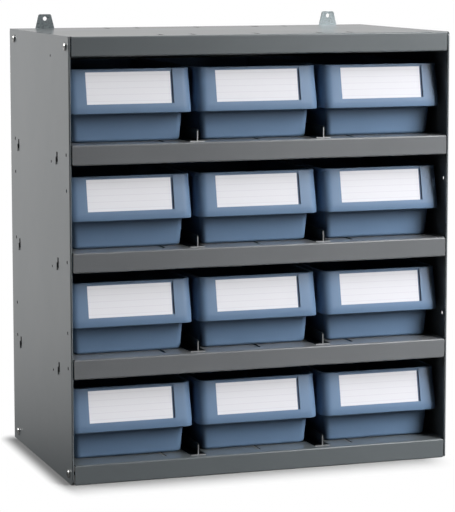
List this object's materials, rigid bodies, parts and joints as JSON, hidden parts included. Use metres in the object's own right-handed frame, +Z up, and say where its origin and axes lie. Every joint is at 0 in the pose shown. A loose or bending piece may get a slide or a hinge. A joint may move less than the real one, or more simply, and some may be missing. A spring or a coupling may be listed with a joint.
{
  "type": "bin shelving unit",
  "caption": "Low sheet-steel shelf cabinet with pressed shelves, divider rails and hooded plastic bins that slide out forwards, for storing small parts.",
  "frame": {"origin": "on the floor, in the middle of the unit's overall box", "axes": "+X to the right seen from the front, +Y to the rear, +Z up; the bins slide out along -Y"},
  "size_m": [0.5762, 0.351, 0.649],
  "materials": {
    "grey_paint": "semi-gloss powder coat on sheet steel",
    "zinc_sheet": "zinc-plated sheet",
    "zinc_fixings": "bright zinc plate",
    "bin_plastic": "blue-grey moulded plastic with a fine satin grain",
    "label_card": "plain white card"
  },
  "bodies": {
    "cabinet": {"left_side": "grey_paint", "right_side": "grey_paint", "base_shelf": "grey_paint", "lower_shelf": "grey_paint", "middle_shelf": "grey_paint", "upper_shelf": "grey_paint", "top_panel": "grey_paint", "back_panel": "grey_paint", "divider_row1_left": "zinc_sheet", "divider_row1_right": "zinc_sheet", "divider_row2_left": "zinc_sheet", "divider_row2_right": "zinc_sheet", "divider_row3_left": "zinc_sheet", "divider_row3_right": "zinc_sheet", "divider_row4_left": "zinc_sheet", "divider_row4_right": "zinc_sheet", "hanging_bracket_left": "zinc_sheet", "hanging_bracket_right": "zinc_sheet", "corner_screws": "zinc_fixings", "corner_nuts": "zinc_fixings"},
    "bin_row1_left": {"bin_row1_left": "bin_plastic", "label_row1_left": "label_card"},
    "bin_row1_middle": {"bin_row1_middle": "bin_plastic", "label_row1_middle": "label_card"},
    "bin_row1_right": {"bin_row1_right": "bin_plastic", "label_row1_right": "label_card"},
    "bin_row2_left": {"bin_row2_left": "bin_plastic", "label_row2_left": "label_card"},
    "bin_row2_middle": {"bin_row2_middle": "bin_plastic", "label_row2_middle": "label_card"},
    "bin_row2_right": {"bin_row2_right": "bin_plastic", "label_row2_right": "label_card"},
    "bin_row3_left": {"bin_row3_left": "bin_plastic", "label_row3_left": "label_card"},
    "bin_row3_middle": {"bin_row3_middle": "bin_plastic", "label_row3_middle": "label_card"},
    "bin_row3_right": {"bin_row3_right": "bin_plastic", "label_row3_right": "label_card"},
    "bin_row4_left": {"bin_row4_left": "bin_plastic", "label_row4_left": "label_card"},
    "bin_row4_middle": {"bin_row4_middle": "bin_plastic", "label_row4_middle": "label_card"},
    "bin_row4_right": {"bin_row4_right": "bin_plastic", "label_row4_right": "label_card"}
  },
  "joints": [
    {"name": "bin_row1_left_slide", "type": "slide", "parent": "cabinet", "child": "bin_row1_left", "axis": [0, -1, 0], "range_m": [0, 0.27]},
    {"name": "bin_row1_middle_slide", "type": "slide", "parent": "cabinet", "child": "bin_row1_middle", "axis": [0, -1, 0], "range_m": [0, 0.27]},
    {"name": "bin_row1_right_slide", "type": "slide", "parent": "cabinet", "child": "bin_row1_right", "axis": [0, -1, 0], "range_m": [0, 0.27]},
    {"name": "bin_row2_left_slide", "type": "slide", "parent": "cabinet", "child": "bin_row2_left", "axis": [0, -1, 0], "range_m": [0, 0.27]},
    {"name": "bin_row2_middle_slide", "type": "slide", "parent": "cabinet", "child": "bin_row2_middle", "axis": [0, -1, 0], "range_m": [0, 0.27]},
    {"name": "bin_row2_right_slide", "type": "slide", "parent": "cabinet", "child": "bin_row2_right", "axis": [0, -1, 0], "range_m": [0, 0.27]},
    {"name": "bin_row3_left_slide", "type": "slide", "parent": "cabinet", "child": "bin_row3_left", "axis": [0, -1, 0], "range_m": [0, 0.27]},
    {"name": "bin_row3_middle_slide", "type": "slide", "parent": "cabinet", "child": "bin_row3_middle", "axis": [0, -1, 0], "range_m": [0, 0.27]},
    {"name": "bin_row3_right_slide", "type": "slide", "parent": "cabinet", "child": "bin_row3_right", "axis": [0, -1, 0], "range_m": [0, 0.27]},
    {"name": "bin_row4_left_slide", "type": "slide", "parent": "cabinet", "child": "bin_row4_left", "axis": [0, -1, 0], "range_m": [0, 0.27]},
    {"name": "bin_row4_middle_slide", "type": "slide", "parent": "cabinet", "child": "bin_row4_middle", "axis": [0, -1, 0], "range_m": [0, 0.27]},
    {"name": "bin_row4_right_slide", "type": "slide", "parent": "cabinet", "child": "bin_row4_right", "axis": [0, -1, 0], "range_m": [0, 0.27]}
  ]
}
